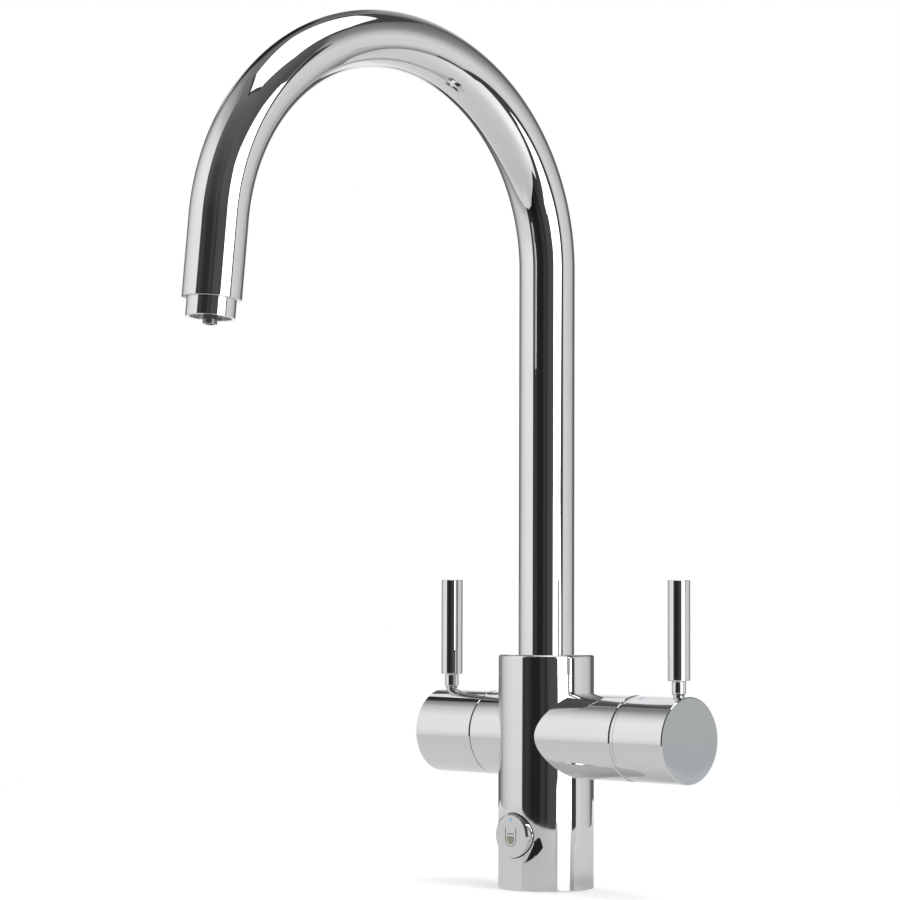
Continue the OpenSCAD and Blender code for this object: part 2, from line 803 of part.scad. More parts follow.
light_guide_d = 2.6;
light_foot = button_travel + board_y + 2;

module button_cap() {
    skirt_in = button_d / 2 - button_wall;
    stem_tip = switch_tip_y + button_travel + 0.1;
    color(chrome) button_frame() difference() {
        rotate_extrude() polygon([
            [0, stem_tip], [1.5, stem_tip], [1.5, face_y - face_t], [skirt_in, face_y - face_t],
            [skirt_in, flange_y - button_flange_t], [flange_d / 2, flange_y - button_flange_t],
            [flange_d / 2, flange_y], [button_d / 2, flange_y],
            [button_d / 2, face_y - face_bevel], [face_d / 2, face_y], [0, face_y]]);
        sign_shape(sign_t + over);
        translate([0, light_up, 0]) rod(light_d, light_foot, face_y + over);
    }
}

module button_sign() color("tan") button_frame() sign_shape(sign_t);

// Clear light guide: a thin tip in the face and a thicker rod behind it
module button_light() {
    color("deepskyblue") button_frame() translate([0, light_up, 0]) {
        rod(light_d, face_y - face_t - lap_step, face_y);
        rod(light_guide_d, light_foot, face_y - face_t);
    }
}

module button_gasket() {
    color(dark_rubber) button_frame() ring(carrier_d, 2 * gasket_in, flange_y, land_y);
}

// Coil spring: one wire of round section wound as a helix, ends on the board and in the cap
coil_sides = 6;
coil_steps = 16;
coil_from = board_y + spring_wire / 2 + 0.02;
coil_to = face_y - face_t - spring_wire / 2 - 0.02;
coil_rings = spring_turns * coil_steps;
function coil_point(i, j) =
    let (turn = 360 * i / coil_steps, around = 360 * j / coil_sides,
        reach = spring_d / 2 + spring_wire / 2 * cos(around))
    [reach * cos(turn), reach * sin(turn),
        coil_from + (coil_to - coil_from) * i / coil_rings + spring_wire / 2 * sin(around)];
coil_pitch = (coil_to - coil_from) / spring_turns;
echo(least_gap_between_turns = coil_pitch - spring_wire);

module button_spring() {
    points = [for (i = [0 : coil_rings]) for (j = [0 : coil_sides - 1]) coil_point(i, j)];
    last = coil_rings * coil_sides;
    sides = [for (i = [0 : coil_rings - 1]) for (j = [0 : coil_sides - 1])
        let (a = i * coil_sides + j, b = i * coil_sides + (j + 1) % coil_sides)
        each [[a, b, b + coil_sides], [a, b + coil_sides, a + coil_sides]]];
    start = [for (j = [1 : coil_sides - 2]) [0, j + 1, j]];
    finish = [for (j = [1 : coil_sides - 2]) [last, last + j, last + j + 1]];
    color("silver") button_frame() polyhedron(points, concat(sides, start, finish));
}

// Plastic carrier for the switch, with a tab that is screwed up to the roof of the hollow base
module switch_carrier() {
    web_w = 12;
    tab_back = tab_screw[1] - carrier_head_d / 2 - 0.3;
    tab_right = tab_screw[0] + carrier_head_d / 2 + 0.3;
    roof = hollow_h - button_z;
    color("darkslategray") button_frame() difference() {
        union() {
            rod(carrier_d, carrier_back, carrier_y);
            translate([-web_w / 2, carrier_d / 2 - 3, carrier_back])
                cube([web_w, roof - carrier_d / 2 + 3, carrier_y - carrier_back]);
            translate([-web_w / 2, roof - tab_t, tab_back])
                cube([web_w / 2 + tab_right, tab_t, carrier_y - tab_back]);
        }
        rod(board_d + 4 * slack, board_back, carrier_y + over);
        translate([-socket_w / 2 - 0.25, -socket_t / 2 - 0.25, carrier_back - over])
            cube([socket_w + 0.5, socket_t + 0.5, board_back - carrier_back + 2 * over]);
        translate([tab_screw[0], 0, tab_screw[1]]) rotate([-90, 0, 0])
            rod(carrier_screw_d + 4 * slack, roof - tab_t - over, roof + over);
    }
}

module circuit_board() color("darkgreen") button_frame() rod(board_d, board_back, board_y);

// The tip is drawn pressed in, as it is when the button is at the end of its travel
module push_switch() {
    color("dimgray") button_frame() {
        translate([-switch_w / 2, -switch_w / 2, board_y]) cube([switch_w, switch_w, switch_y - board_y]);
        rod(3.4, switch_y, switch_tip_y);
    }
}

module indicator_lamp() {
    color("lightblue") button_frame() translate([0, light_up, 0]) rod(2.4, board_y, board_y + lamp_h);
}

// Socket on the back of the board for the cable to the water heater
module cable_socket() {
    color(white_plastic) button_frame() difference() {
        translate([-socket_w / 2, -socket_t / 2, socket_back])
            cube([socket_w, socket_t, board_back - socket_back]);
        translate([-plug_w / 2, -plug_t / 2, socket_back - over])
            cube([plug_w, plug_t, plug_reach + over]);
    }
}

module carrier_screw() {
    head = hollow_h - tab_t;
    head_h = 1.8;
    color("silver") translate([tab_screw[0], -tab_screw[1], 0]) difference() {
        union() {
            rod(carrier_head_d, head - head_h, head);
            rod(carrier_screw_d, head, hollow_h + carrier_screw_l);
        }
        translate([0, 0, head - head_h - over]) cylinder(d = 2, h = 1 + over, $fn = 6);
    }
}

body();
base_seal();
slip_washer();
spout_tube();
swivel_stem();
swivel_rings();
spout_keeper_screw();
inner_tube();
inner_tube_plug();
plug_ring();
outlet_bush();
outlet_ring();
outlet_gasket();
aerator();
hot_nozzle();
left_cartridge();
left_fixed_disc();
left_turning_disc();
left_spindle();
left_spindle_ring();
left_seat_rings();
left_clamp_nut();
left_cap();
left_lever();
left_grub_screw();
right_cartridge();
right_fixed_disc();
right_turning_disc();
right_spindle();
right_spindle_ring();
right_seat_rings();
right_clamp_nut();
right_trim_ring();
right_cap();
right_lever();
right_grub_screw();
right_index();
button_cap();
button_sign();
button_light();
button_gasket();
button_spring();
switch_carrier();
circuit_board();
push_switch();
indicator_lamp();
cable_socket();
carrier_screw();
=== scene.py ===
# A boiling water tap on a pale studio table: polished chrome body with two side handles,
# a tall swan-neck spout and a lit push button. All sizes are in metres, in the frame of the
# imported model: origin at the centre of the base, +Z up, the user at -Y.
import math

import bmesh
import bpy
from mathutils import Matrix, Vector


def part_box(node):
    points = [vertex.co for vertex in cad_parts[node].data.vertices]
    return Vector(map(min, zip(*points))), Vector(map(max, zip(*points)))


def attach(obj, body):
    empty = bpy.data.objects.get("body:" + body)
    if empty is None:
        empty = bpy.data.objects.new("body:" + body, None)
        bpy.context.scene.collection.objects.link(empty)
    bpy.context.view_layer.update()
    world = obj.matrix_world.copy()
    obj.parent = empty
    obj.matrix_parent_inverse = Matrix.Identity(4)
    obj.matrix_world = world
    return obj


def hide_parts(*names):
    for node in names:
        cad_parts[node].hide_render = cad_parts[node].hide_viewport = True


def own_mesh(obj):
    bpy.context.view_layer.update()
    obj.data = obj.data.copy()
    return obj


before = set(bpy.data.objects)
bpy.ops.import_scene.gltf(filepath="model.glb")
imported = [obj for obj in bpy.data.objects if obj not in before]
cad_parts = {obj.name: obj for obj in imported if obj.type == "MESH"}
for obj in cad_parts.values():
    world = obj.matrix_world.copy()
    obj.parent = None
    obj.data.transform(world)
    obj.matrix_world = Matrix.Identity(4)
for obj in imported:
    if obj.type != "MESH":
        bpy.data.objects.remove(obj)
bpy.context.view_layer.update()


# ---------- Camera ----------
# A long lens a metre and a half away, level with the tops of the levers, turned to show the
# front and the end of the longer arm. Its place was found from edges seen in the photograph.

camera_azimuth = math.radians(42.702)
camera_distance, camera_height = 1.478761, 0.141525
yaw, pitch, roll = (math.radians(a) for a in (1.767, 2.462, 0.182))
picture_pixels, focal_pixels, sensor_width = 900, 3138.351, 36

back = Vector((math.sin(camera_azimuth), -math.cos(camera_azimuth), 0))
ahead = Matrix.Rotation(yaw, 3, "Z") @ -back
level_right = Vector((ahead.y, -ahead.x, 0))
ahead = (ahead * math.cos(pitch) + Vector((0, 0, math.sin(pitch)))).normalized()
level_up = level_right.cross(ahead)
right = level_right * math.cos(roll) + level_up * math.sin(roll)
up = level_up * math.cos(roll) - level_right * math.sin(roll)

lens = bpy.data.cameras.new("camera")
lens.sensor_width = sensor_width
lens.lens = focal_pixels / picture_pixels * sensor_width
lens.clip_start, lens.clip_end = 0.05, 50
camera = bpy.data.objects.new("camera", lens)
camera.matrix_world = Matrix.Translation(back * camera_distance + Vector((0, 0, camera_height))) @ (
    Matrix((right, up, -ahead)).transposed().to_4x4())
bpy.context.scene.collection.objects.link(camera)
bpy.context.scene.camera = camera
bpy.context.scene.view_settings.view_transform = "Standard"


# ---------- Studio ----------
# A white floor and backdrop, soft lamps, and what polished metal mirrors: a photographer's
# room. A glossy white table, a dark curtain before the tap, pale walls left and right, a lit
# panel on the right with its dark stand, an eight-sided light overhead and a card behind.

class Wire:
    """A value in a node tree. +, -, * and / on it add Math nodes."""

    def __init__(self, tree, socket):
        self.tree, self.socket = tree, socket

    def math(self, operation, *values, clamp=False):
        """A Math node on the given values, some of them wires."""
        node = self.tree.nodes.new("ShaderNodeMath")
        node.operation, node.use_clamp = operation, clamp
        for slot, value in zip(node.inputs, values):
            if isinstance(value, Wire):
                self.tree.links.new(value.socket, slot)
            else:
                slot.default_value = value
        return Wire(self.tree, node.outputs[0])

    def __add__(self, other):
        return self.math("ADD", self, other)

    __radd__ = __add__

    def __sub__(self, other):
        return self.math("SUBTRACT", self, other)

    def __rsub__(self, other):
        return self.math("SUBTRACT", other, self)

    def __mul__(self, other):
        return self.math("MULTIPLY", self, other)

    __rmul__ = __mul__

    def __truediv__(self, other):
        return self.math("DIVIDE", self, other)

    def clamp(self):
        return self.math("ADD", self, 0.0, clamp=True)

    def between(self, low, high, soft):
        """1 from low to high, with edges as wide as soft inside them, and 0 outside."""
        return ((self - low) / soft).clamp() * ((high - self) / soft).clamp()


class Finish:
    """A material or world: its node tree, with one method that adds any node."""

    def __init__(self, name, world=False):
        self.block = (bpy.data.worlds if world else bpy.data.materials).new(name)
        self.block.use_nodes = True
        self.tree = self.block.node_tree
        self.tree.nodes.clear()
        self.output = self.tree.nodes.new("ShaderNodeOutputWorld" if world else "ShaderNodeOutputMaterial")

    def node(self, kind, settings=None, inputs=None, out=0):
        node = self.tree.nodes.new("ShaderNode" + kind)
        for key, value in (settings or {}).items():
            if key == "stops":
                ramp = node.color_ramp.elements
                while len(ramp) < len(value):
                    ramp.new(1)
                for stop, (place, level) in zip(ramp, value):
                    stop.position, stop.color = place, (level, level, level, 1)
            else:
                setattr(node, key, value)
        for key, value in (inputs or {}).items():
            if isinstance(value, Wire):
                self.tree.links.new(value.socket, node.inputs[key])
            else:
                node.inputs[key].default_value = value
        return Wire(self.tree, node.outputs[out])

    def colours(self, factor, first, second):
        return self.node("Mix", {"data_type": "RGBA"}, {0: factor, 6: first, 7: second}, out=2)

    def curve(self, value, low, high, stops):
        """Level over value, straight from stop to stop."""
        level = self.node("ValToRGB", {"stops": [((v - low) / (high - low), e / 2) for v, e in stops]},
                          {"Fac": (value - low) / (high - low)})
        return level * 2.0

    def point(self):
        """The place on the surface, in the object's frame."""
        return self.node("TexCoord", out="Object")

    def xyz(self):
        split = self.node("SeparateXYZ", inputs={"Vector": self.point()}).socket.node
        return [Wire(self.tree, axis) for axis in split.outputs]

    def azimuth(self, x, y):
        """Degrees round from the front: 90 on the right, 180 behind."""
        return x.math("ARCTAN2", x, y * -1.0) * (180 / math.pi)

    def length(self, x, y):
        return self.node("VectorMath", {"operation": "LENGTH"},
                         {0: self.node("CombineXYZ", inputs={0: x, 1: y})}, out="Value")

    def surface(self, shader):
        self.tree.links.new(shader.socket, self.output.inputs["Surface"])
        return self.block

    def coat(self, constants, **changing):
        """The Principled shader: constants on its sockets, and links for what changes."""
        shader = self.node("BsdfPrincipled", inputs=constants)
        for name, value in changing.items():
            self.tree.links.new(value.socket, shader.socket.node.inputs[name.replace("_", " ")])
        return self.surface(shader)

    def glow(self, strength, tint=(1, 1, 1)):
        """Light of its own, even (a number) or changing over the surface (a wire)."""
        if isinstance(strength, Wire):
            return self.node("Emission", inputs={"Color": strength, "Strength": 1.0})
        return self.node("Emission", inputs={"Color": (*tint, 1), "Strength": strength})


def stage_piece(name, bm, material, mirrored_only=True):
    """A part of the studio. Most of them are there only for what shiny surfaces mirror."""
    mesh = bpy.data.meshes.new(name)
    bm.to_mesh(mesh)
    bm.free()
    thing = bpy.data.objects.new(name, mesh)
    mesh.materials.append(material)
    bpy.context.scene.collection.objects.link(thing)
    if mirrored_only:
        thing.visible_camera = thing.visible_diffuse = thing.visible_shadow = False
        thing.visible_transmission = thing.visible_volume_scatter = False
    return thing


def card(name, points, strength, tint=(1, 1, 1), clear_from=None):
    """A flat lit or dark card, through the given corners. clear_from makes it clear to rays
    that meet it further from square-on than that (0 square-on, 1 edge-on)."""
    soft_edge = 0.04
    bm = bmesh.new()
    bm.faces.new([bm.verts.new(p) for p in points])
    finish = Finish(name)
    shader = finish.glow(strength, tint)
    if clear_from:
        facing = finish.node("LayerWeight", inputs={"Blend": 0.5}, out="Facing")
        shader = finish.node("MixShader", inputs={
            0: ((facing - clear_from) / soft_edge).clamp(), 1: shader,
            2: finish.node("BsdfTransparent")})
    return stage_piece(name, bm, finish.surface(shader))


air = Finish("Studio air", world=True)
rays = air.node("LightPath").socket.node.outputs
direct = (Wire(air.tree, rays["Is Camera Ray"]) + Wire(air.tree, rays["Is Glossy Ray"])
          + Wire(air.tree, rays["Is Transmission Ray"])).clamp()
bright = air.node("Background", inputs={"Color": (1, 1, 1, 1), "Strength": 1.0})
soft = air.node("Background", inputs={"Color": (1, 1, 1, 1), "Strength": 0.55})
air.surface(air.node("MixShader", inputs={0: direct, 1: soft, 2: bright}))
bpy.context.scene.world = air.block

# The floor that the camera sees turns from a lit surface, which holds the tap's shadow,
# into plain white further out.
shadow_reach, fade_width = 0.15, 0.6
bm = bmesh.new()
bmesh.ops.create_grid(bm, x_segments=1, y_segments=1, size=8)
pale = Finish("Pale floor")
x, y, _ = pale.xyz()
far_out = ((pale.length(x, y) - shadow_reach) / fade_width).clamp()
lit = pale.node("BsdfDiffuse", inputs={"Color": (0.86, 0.86, 0.86, 1)})
near_floor = pale.node("AddShader", inputs={0: lit, 1: pale.glow(0.30)})
floor = stage_piece("floor", bm, pale.surface(pale.node("MixShader", inputs={
    0: far_out, 1: near_floor, 2: pale.glow(1.0)})), mirrored_only=False)
floor.visible_glossy = False


def pool(finish, x, y):
    """The table's glow, with light and shade painted into it: pale, with a painted pool of light under the
    lit panel and a fainter one at the back, a painted brighter rim on the left, and a painted shadow close
    behind the tap."""
    def spot(centre_x, centre_y, spread):
        away = finish.length(x - centre_x, y - centre_y)
        return away.math("EXPONENT", away * away * (-1 / spread ** 2))

    plain = 0.675
    # Painted pools of light, a painted bright rim and a painted shadow of the tap, all in the table's glow.
    painted_light_under_panel = spot(0.75, -0.05, 0.38)
    painted_light_back_left = spot(-0.3, 0.55, 0.6)
    painted_shadow_behind_tap = spot(0.045, 0.035, 0.05)
    painted_light_left_rim = ((finish.length(x, y) - 0.42) / 0.2).clamp() * ((0.1 - x) / 0.1).clamp()
    return plain + painted_light_under_panel * 0.66 + painted_light_back_left * 0.25 + painted_light_left_rim * 0.2 - painted_shadow_behind_tap * 0.25


def table(name, height, edge):
    """A glossy table top, whose edge is given as (azimuth, distance) round the tap. It shines
    most towards the lit panel."""
    gloss, panel_boost = 0.2, 1.8
    bm = bmesh.new()
    rim = [bm.verts.new((math.sin(math.radians(a)) * d, -math.cos(math.radians(a)) * d, height))
           for a, d in edge]
    bm.faces.new(rim)
    bmesh.ops.recalc_face_normals(bm, faces=bm.faces)
    top = Finish(name)
    x, y, _ = top.xyz()
    shine = top.node("BsdfGlossy", inputs={"Color": (1, 1, 1, 1), "Roughness": 0.04})
    to_panel = top.azimuth(x, y).between(62, 106, 4)
    grazing = top.node("Fresnel", inputs={"IOR": 1.35}) * (1 + to_panel * panel_boost)
    stage_piece(name, bm, top.surface(top.node("MixShader", inputs={
        0: (grazing * gloss).clamp(), 1: top.glow(pool(top, x, y)), 2: shine})))


table("table_top", -0.0002, [
    (-100, 0.62), (-40, 0.62), (-21, 0.60), (10, 0.46), (28, 0.42), (45, 0.405), (70, 0.40), (118, 0.41),
    (140, 0.42), (178, 0.40), (-150, 0.55)])
table("lower_table", -0.035, [
    (-178, 0.75), (-171, 1.15), (-142, 1.15), (-135, 0.70), (-90, 0.70), (-45, 0.70), (-24, 0.76),
    (-5, 0.78), (10, 0.75), (20, 0.68), (45, 0.68), (62, 0.72), (66, 0.92), (90, 0.95), (106, 0.92),
    (112, 0.72), (135, 0.70), (158, 0.70)])

# The room: brightness by azimuth round the tap, and how it fades up and down, in degrees of
# azimuth and of height over the eye. Two walls lean, the one at the back right dims as it
# rises, and a corner at the back left is dark.
eye, room_radius = 0.33, 3
bm = bmesh.new()
bmesh.ops.create_uvsphere(bm, u_segments=96, v_segments=48, radius=room_radius,
                          matrix=Matrix.Translation((0, 0, eye)))
room = Finish("Room")
x, y, z = room.xyz()
azimuth = room.azimuth(x, y)
height = x.math("ARCTAN2", z - eye, room.length(x, y)) * (180 / math.pi)
above = height - 10
lean = above.math("MAXIMUM", above, 0.0) * (
    0.5 * azimuth.between(-181, -118, 4) - 0.4 * azimuth.between(-108, -50, 8))
round_about = room.curve(azimuth + lean, -180, 180, [
    (-180, 0.15), (-176, 0.14), (-153, 0.14), (-146, 1.05), (-127, 1.05), (-121, 0.13), (-108, 0.12),
    (-98, 0.34), (-92, 0.42), (-84, 0.72), (-65, 0.94), (-45, 1.04), (-17.6, 1.05), (-15.6, 0.05),
    (-9, 0.05), (-3, 0.055), (3, 0.035), (9, 0.02), (25, 0.02), (32, 0.055), (37, 0.05), (42, 0.03),
    (47, 0.08), (60, 0.09), (113, 0.08), (114.5, 0.84), (124, 0.88), (136, 0.83), (150, 0.77),
    (162, 0.70), (171, 0.52), (180, 0.15)])
fade_left = room.curve(height, -90, 90, [
    (-27, 0.4), (-24, 0.5), (-19, 0.8), (-15, 0.86), (-11, 0.85), (-9, 0.88), (-5, 0.96), (0, 1), (26, 1),
    (32, 0.94), (37, 0.86), (41, 0.73), (45, 0.52), (50, 0.40), (55, 0.2), (60, 0.03)])
fade_else = room.curve(height, -90, 90, [
    (-27, 0.4), (-24, 0.5), (-19, 0.8), (-15, 0.93), (-12, 1), (10, 1), (16, 0.93), (20, 0.86),
    (24, 0.78), (28, 0.61), (32, 0.51), (36, 0.40), (45, 0.27), (52, 0.1)])
ceiling = room.curve(height, -90, 90, [
    (8, 0), (20, 0.04), (30, 0.065), (38, 0.10), (45, 0.12), (52, 0.15), (60, 0.2), (90, 0.2)])
dark_corner = azimuth.between(-125, -88, 4) * height.between(24, 58, 10)
on_left = azimuth.between(-102, 0, 4)
dimmer = 1 - ((height - 8) / 75).clamp() * azimuth.between(100, 181, 6)
walls = round_about * (fade_left * on_left + fade_else * dimmer * (1 - on_left))
light = (walls + ceiling * (1 - 0.8 * dark_corner)) * (1 - 0.65 * dark_corner)
stage_piece("room", bm, room.surface(room.glow(light)))

# The lit panel on the right, its far end cut off below and rounded above, its stand, and a
# low lit panel further off. The first one's corners are (share of the way along, height).
panel_glow = 3.0
panel_start, panel_end = Vector((1.02, -0.37, 0)), Vector((0.72, 0.205, 0))
card("lit_panel", [(*panel_start.lerp(panel_end, s).to_2d(), h) for s, h in (
    (0, 0.07), (0.5, 0.09), (0.84, 0.13), (1, 0.42), (1, 0.60), (0.85, 0.69), (0.6, 0.745), (0.12, 0.75),
    (0, 0.72))], panel_glow)
card("low_panel", [(2.30, -0.98, -0.28), (2.41, 0.67, -0.28), (2.41, 0.67, 0.11), (2.39, 0.45, 0.25),
                   (2.31, -0.86, 0.25), (2.31, -0.86, -0.10), (2.30, -0.98, -0.11)], panel_glow)
card("panel_stand", [(0.72, 0.205, -0.03), (0.672, 0.36, -0.03), (0.672, 0.36, 0.038), (0.70, 0.27, 0.038),
                     (0.70, 0.27, 0.75), (0.72, 0.205, 0.75)], 0.06)

# What the flat end of the right cap mirrors: a grey wall, bluish low down, with a paler
# patch at its foot, whose top edge dips in a curve. Corners as (across, height).
wall_reach, wall_foot, wall_step, wall_top = 0.066, -0.022, 0.011, 0.056
dip_steps, dip_low, dip_rise = 10, -0.0115, 0.0155
slant = math.sqrt(0.5)
dip = [(wall_reach * s / dip_steps, dip_low + dip_rise * abs(2 * s / dip_steps - 1) ** 1.1)
       for s in range(dip_steps + 1)]
for name, setback, outline, strength, tint in (
        ("grey_wall", 0.83, [(0, wall_step), (wall_reach, wall_step), (wall_reach, wall_top),
                             (0, wall_top)], 0.558, (0.95, 1, 0.985)),
        ("blue_wall", 0.83, [(0, wall_foot), (wall_reach, wall_foot), (wall_reach, wall_step),
                             (0, wall_step)], 0.574, (0.89, 0.95, 1)),
        ("curved_patch", 0.828, [(0, wall_foot), (wall_reach, wall_foot), *reversed(dip)],
         0.642, (0.91, 0.955, 1))):
    card(name, [(setback - slant * c, setback + slant * c, h) for c, h in outline], strength, tint)

# A small dark thing before the tap, mirrored as a leaf beside the button: a long low wedge,
# thickest past its middle.
leaf_start, leaf_length, leaf_distance = -0.016, 0.0955, 0.11
leaf_steps, leaf_thickness = 12, 0.0082


def leaf(share, thickness):
    """A point of the leaf's edge, that share of the way along it."""
    rise = 0.0049 + 0.0046 * share + 0.0016 * share ** 2
    return (leaf_start + leaf_length * share, -leaf_distance,
            rise + thickness * math.sin(math.pi * share ** 1.8))


card("dark_leaf", [leaf(s / leaf_steps, 0) for s in range(leaf_steps + 1)]
     + [leaf(s / leaf_steps, leaf_thickness) for s in range(leaf_steps - 1, 0, -1)], 0.02, clear_from=0.22)

# A bright card behind the tap on the left, with a step in its lower edge.
card("back_card", [(-0.25, 0.44, 0.37), (-0.419, 0.105, 0.37), (-0.43, 0.084, 0.54), (-0.50, -0.055, 0.54),
                   (-0.50, -0.055, 0.62), (-0.25, 0.44, 0.62)], 1.0, clear_from=0.29)

# The eight-sided light overhead and the dim rim round it, from the corner behind the tap on.
for name, level, corners, strength in (
        ("top_light", 1.656, ((0.30, 0.68), (0.82, 0.52), (1.11, 0.025), (0.876, -0.541), (0.31, -0.775),
                              (-0.256, -0.541), (-0.49, 0.025), (-0.20, 0.53)), 1.6),
        ("top_light_rim", 1.66, ((0.10, 1.15), (0.62, 0.90), (1.12, 0.50), (1.18, 0.025), (0.925, -0.59),
                                 (0.31, -0.845), (-0.305, -0.59), (-0.56, 0.025), (-0.30, 0.70)), 0.075)):
    card(name, [(*corner, level) for corner in corners], strength)


def lamp(name, place, aim, size, watts):
    """A soft lamp that lights the tap and the floor, but isn't mirrored."""
    data = bpy.data.lights.new(name, "AREA")
    data.shape, data.size, data.size_y, data.energy = "RECTANGLE", size[0], size[1], watts
    thing = bpy.data.objects.new(name, data)
    thing.location = place
    thing.rotation_euler = (Vector(aim) - Vector(place)).to_track_quat("-Z", "Y").to_euler()
    thing.visible_glossy = False
    bpy.context.scene.collection.objects.link(thing)


lamp("overhead_lamp", (0.3, 0.2, 1.9), (0, 0, 0.1), (1.4, 1.4), 17)
lamp("right_lamp", (1.5, -0.3, 0.9), (0, 0, 0.2), (0.9, 1.1), 7)
lamp("left_lamp", (-1.3, -1.2, 0.9), (0, 0, 0.2), (0.9, 1.1), 6)


# ---------- Body ----------
# One brass casting, turned, drilled and chrome-plated: the upright column and the two arms.
# The plating is mirror-bright outside, with the faintest ripple from polishing; the drilled
# and threaded insides of the base stay bare brass.

def chrome(name, inside=None):
    """Bright chrome plate. inside gives a mask of where the brass is bare, and its thread."""
    ripple = 0.00002
    plate = Finish(name)
    point = plate.point()
    wave = plate.node("TexNoise", inputs={"Vector": point, "Scale": 34.0, "Detail": 1.0})
    smear = plate.node("TexNoise", inputs={"Vector": point, "Scale": 70.0, "Detail": 5.0, "Roughness": 0.7})
    hairline = plate.node("TexNoise", inputs={
        "Vector": plate.node("Mapping", inputs={"Vector": point, "Scale": (900, 900, 60)}), "Detail": 2.0})
    colour = plate.colours((smear * 2.0 - 0.8).clamp(), (0.70, 0.705, 0.71, 1), (0.735, 0.737, 0.74, 1))
    rough = 0.018 + 0.03 * (smear * 2.2 - 1.0).clamp() + 0.012 * hairline
    if inside:
        mask, thread = inside(plate)
        brass = plate.colours(hairline, (0.66, 0.47, 0.22, 1), (0.80, 0.62, 0.34, 1))
        colour = plate.colours(mask, colour, brass)
        rough = rough * (1 - mask) + 0.3 * mask
        wave = wave + thread
    bump = plate.node("Bump", inputs={"Strength": 1.0, "Distance": ripple, "Height": wave})
    return plate.coat({"Metallic": 1.0}, Base_Color=colour, Roughness=rough, Normal=bump)


def base_inside(plate):
    """Bare brass in the hollow base, with the ridges of the shank's thread."""
    hollow_radius, hollow_roof = 0.0212, 0.0498
    thread_radius, thread_depth, thread_pitch = 0.016, 0.012, 0.0015
    edge, ridge_height = 0.0002, 20
    x, y, z = plate.xyz()
    reach = plate.length(x, y)
    mask = ((hollow_radius - reach) / edge).clamp() * ((hollow_roof - z) / edge).clamp()
    turns = z / thread_pitch + x.math("ARCTAN2", y, x) / (2 * math.pi)
    ridge = turns.math("SINE", turns * (2 * math.pi))
    threaded = ((thread_radius - reach) / edge).clamp() * ((thread_depth - z) / (2 * edge)).clamp()
    return mask, ridge * threaded * ridge_height


def dress(node, material):
    """Gives a CAD node its finish."""
    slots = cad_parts[node].data.materials
    slots.clear()
    slots.append(material)


dress("body", chrome("Chrome with bare brass inside", inside=base_inside))


# ---------- Base seal, gaskets and sealing rings ----------
# Black rubber, moulded, matt and slightly dusty where it was handled: under the base, on the
# swivel stem, in the cartridges, at the outlet and round the button.

rubber = Finish("Black rubber")
point = rubber.point()
grain = rubber.node("TexNoise", inputs={"Vector": point, "Scale": 900.0, "Detail": 4.0})
dust = rubber.node("TexNoise", inputs={"Vector": point, "Scale": 120.0, "Detail": 3.0})
rubber_finish = rubber.coat(
    {"Specular IOR Level": 0.35},
    Base_Color=rubber.colours((dust * 3 - 1.4).clamp(), (0.022, 0.022, 0.023, 1),
                              (0.055, 0.054, 0.052, 1)),
    Roughness=0.55 + 0.25 * grain,
    Normal=rubber.node("Bump", inputs={"Strength": 0.6, "Distance": 0.00004, "Height": grain}))
for node in ("base_seal", "swivel_rings", "plug_ring", "outlet_gasket", "left_spindle_ring",
             "right_spindle_ring", "left_seat_rings", "right_seat_rings", "button_gasket"):
    dress(node, rubber_finish)


# ---------- Spout tube ----------
# One brass tube, drawn, bent round a former into the swan neck and chrome-plated. It stands
# in the body on a slip washer and turns with the swivel stem.

tube_radius, tube_wall = 0.01311, 0.00146
tube_foot, neck_height, neck_radius = 0.1078, 0.2898, 0.0982
neck_sweep, tail_length = math.radians(174.4), 0.0357
spout_turn = Matrix.Rotation(math.radians(-3.5), 4, "Z")
tube_sides, neck_steps = 128, 176
guard, end_rounding = 0.0008, 0.0003


def pipe_wall(bm, radius):
    """Straight up from the foot, round the neck and down the straight end. Close rings at
    both ends and before the neck keep the long faces' shading straight."""
    ring = bmesh.ops.create_circle(bm, segments=tube_sides, radius=radius,
                                   matrix=Matrix.Translation((0, 0, tube_foot)))["verts"]
    last = [e for e in bm.edges if e.verts[0] in ring]

    def further(edges, way):
        grown = bmesh.ops.extrude_edge_only(bm, edges=edges)["geom"]
        bmesh.ops.translate(bm, vec=way, verts=[v for v in grown if isinstance(v, bmesh.types.BMVert)])
        return [e for e in grown if isinstance(e, bmesh.types.BMEdge)]

    for rise in (guard, neck_height - tube_foot - 2 * guard, guard):
        last = further(last, Vector((0, 0, rise)))
    bent = bmesh.ops.spin(bm, geom=last, cent=(0, -neck_radius, neck_height), axis=(1, 0, 0),
                          angle=neck_sweep, steps=neck_steps, use_merge=False)["geom_last"]
    last = [e for e in bent if isinstance(e, bmesh.types.BMEdge)]
    down = Matrix.Rotation(neck_sweep, 3, "X") @ Vector((0, 0, 1))
    for run in (guard, tail_length - 2 * guard, guard):
        last = further(last, down * run)


def finish_mesh(name, bm, material, body, node):
    """Makes a piece that stands for a node: normals out, shading by angle, material and body."""
    sharp = math.radians(35)
    bmesh.ops.remove_doubles(bm, verts=bm.verts, dist=1e-7)
    bmesh.ops.recalc_face_normals(bm, faces=bm.faces)
    for face in bm.faces:
        face.smooth = True
    for e in bm.edges:
        e.smooth = len(e.link_faces) != 2 or e.calc_face_angle(0) < sharp
    mesh = bpy.data.meshes.new(name)
    bm.to_mesh(mesh)
    bm.free()
    mesh.materials.append(material)
    piece = bpy.data.objects.new(name, mesh)
    bpy.context.scene.collection.objects.link(piece)
    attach(piece, body)
    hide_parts(node)
    return piece


bm = bmesh.new()
pipe_wall(bm, tube_radius)
inner = bmesh.new()
pipe_wall(inner, tube_radius - tube_wall)
scratch = bpy.data.meshes.new("bore")
inner.to_mesh(scratch)
inner.free()
bm.from_mesh(scratch)
bpy.data.meshes.remove(scratch)

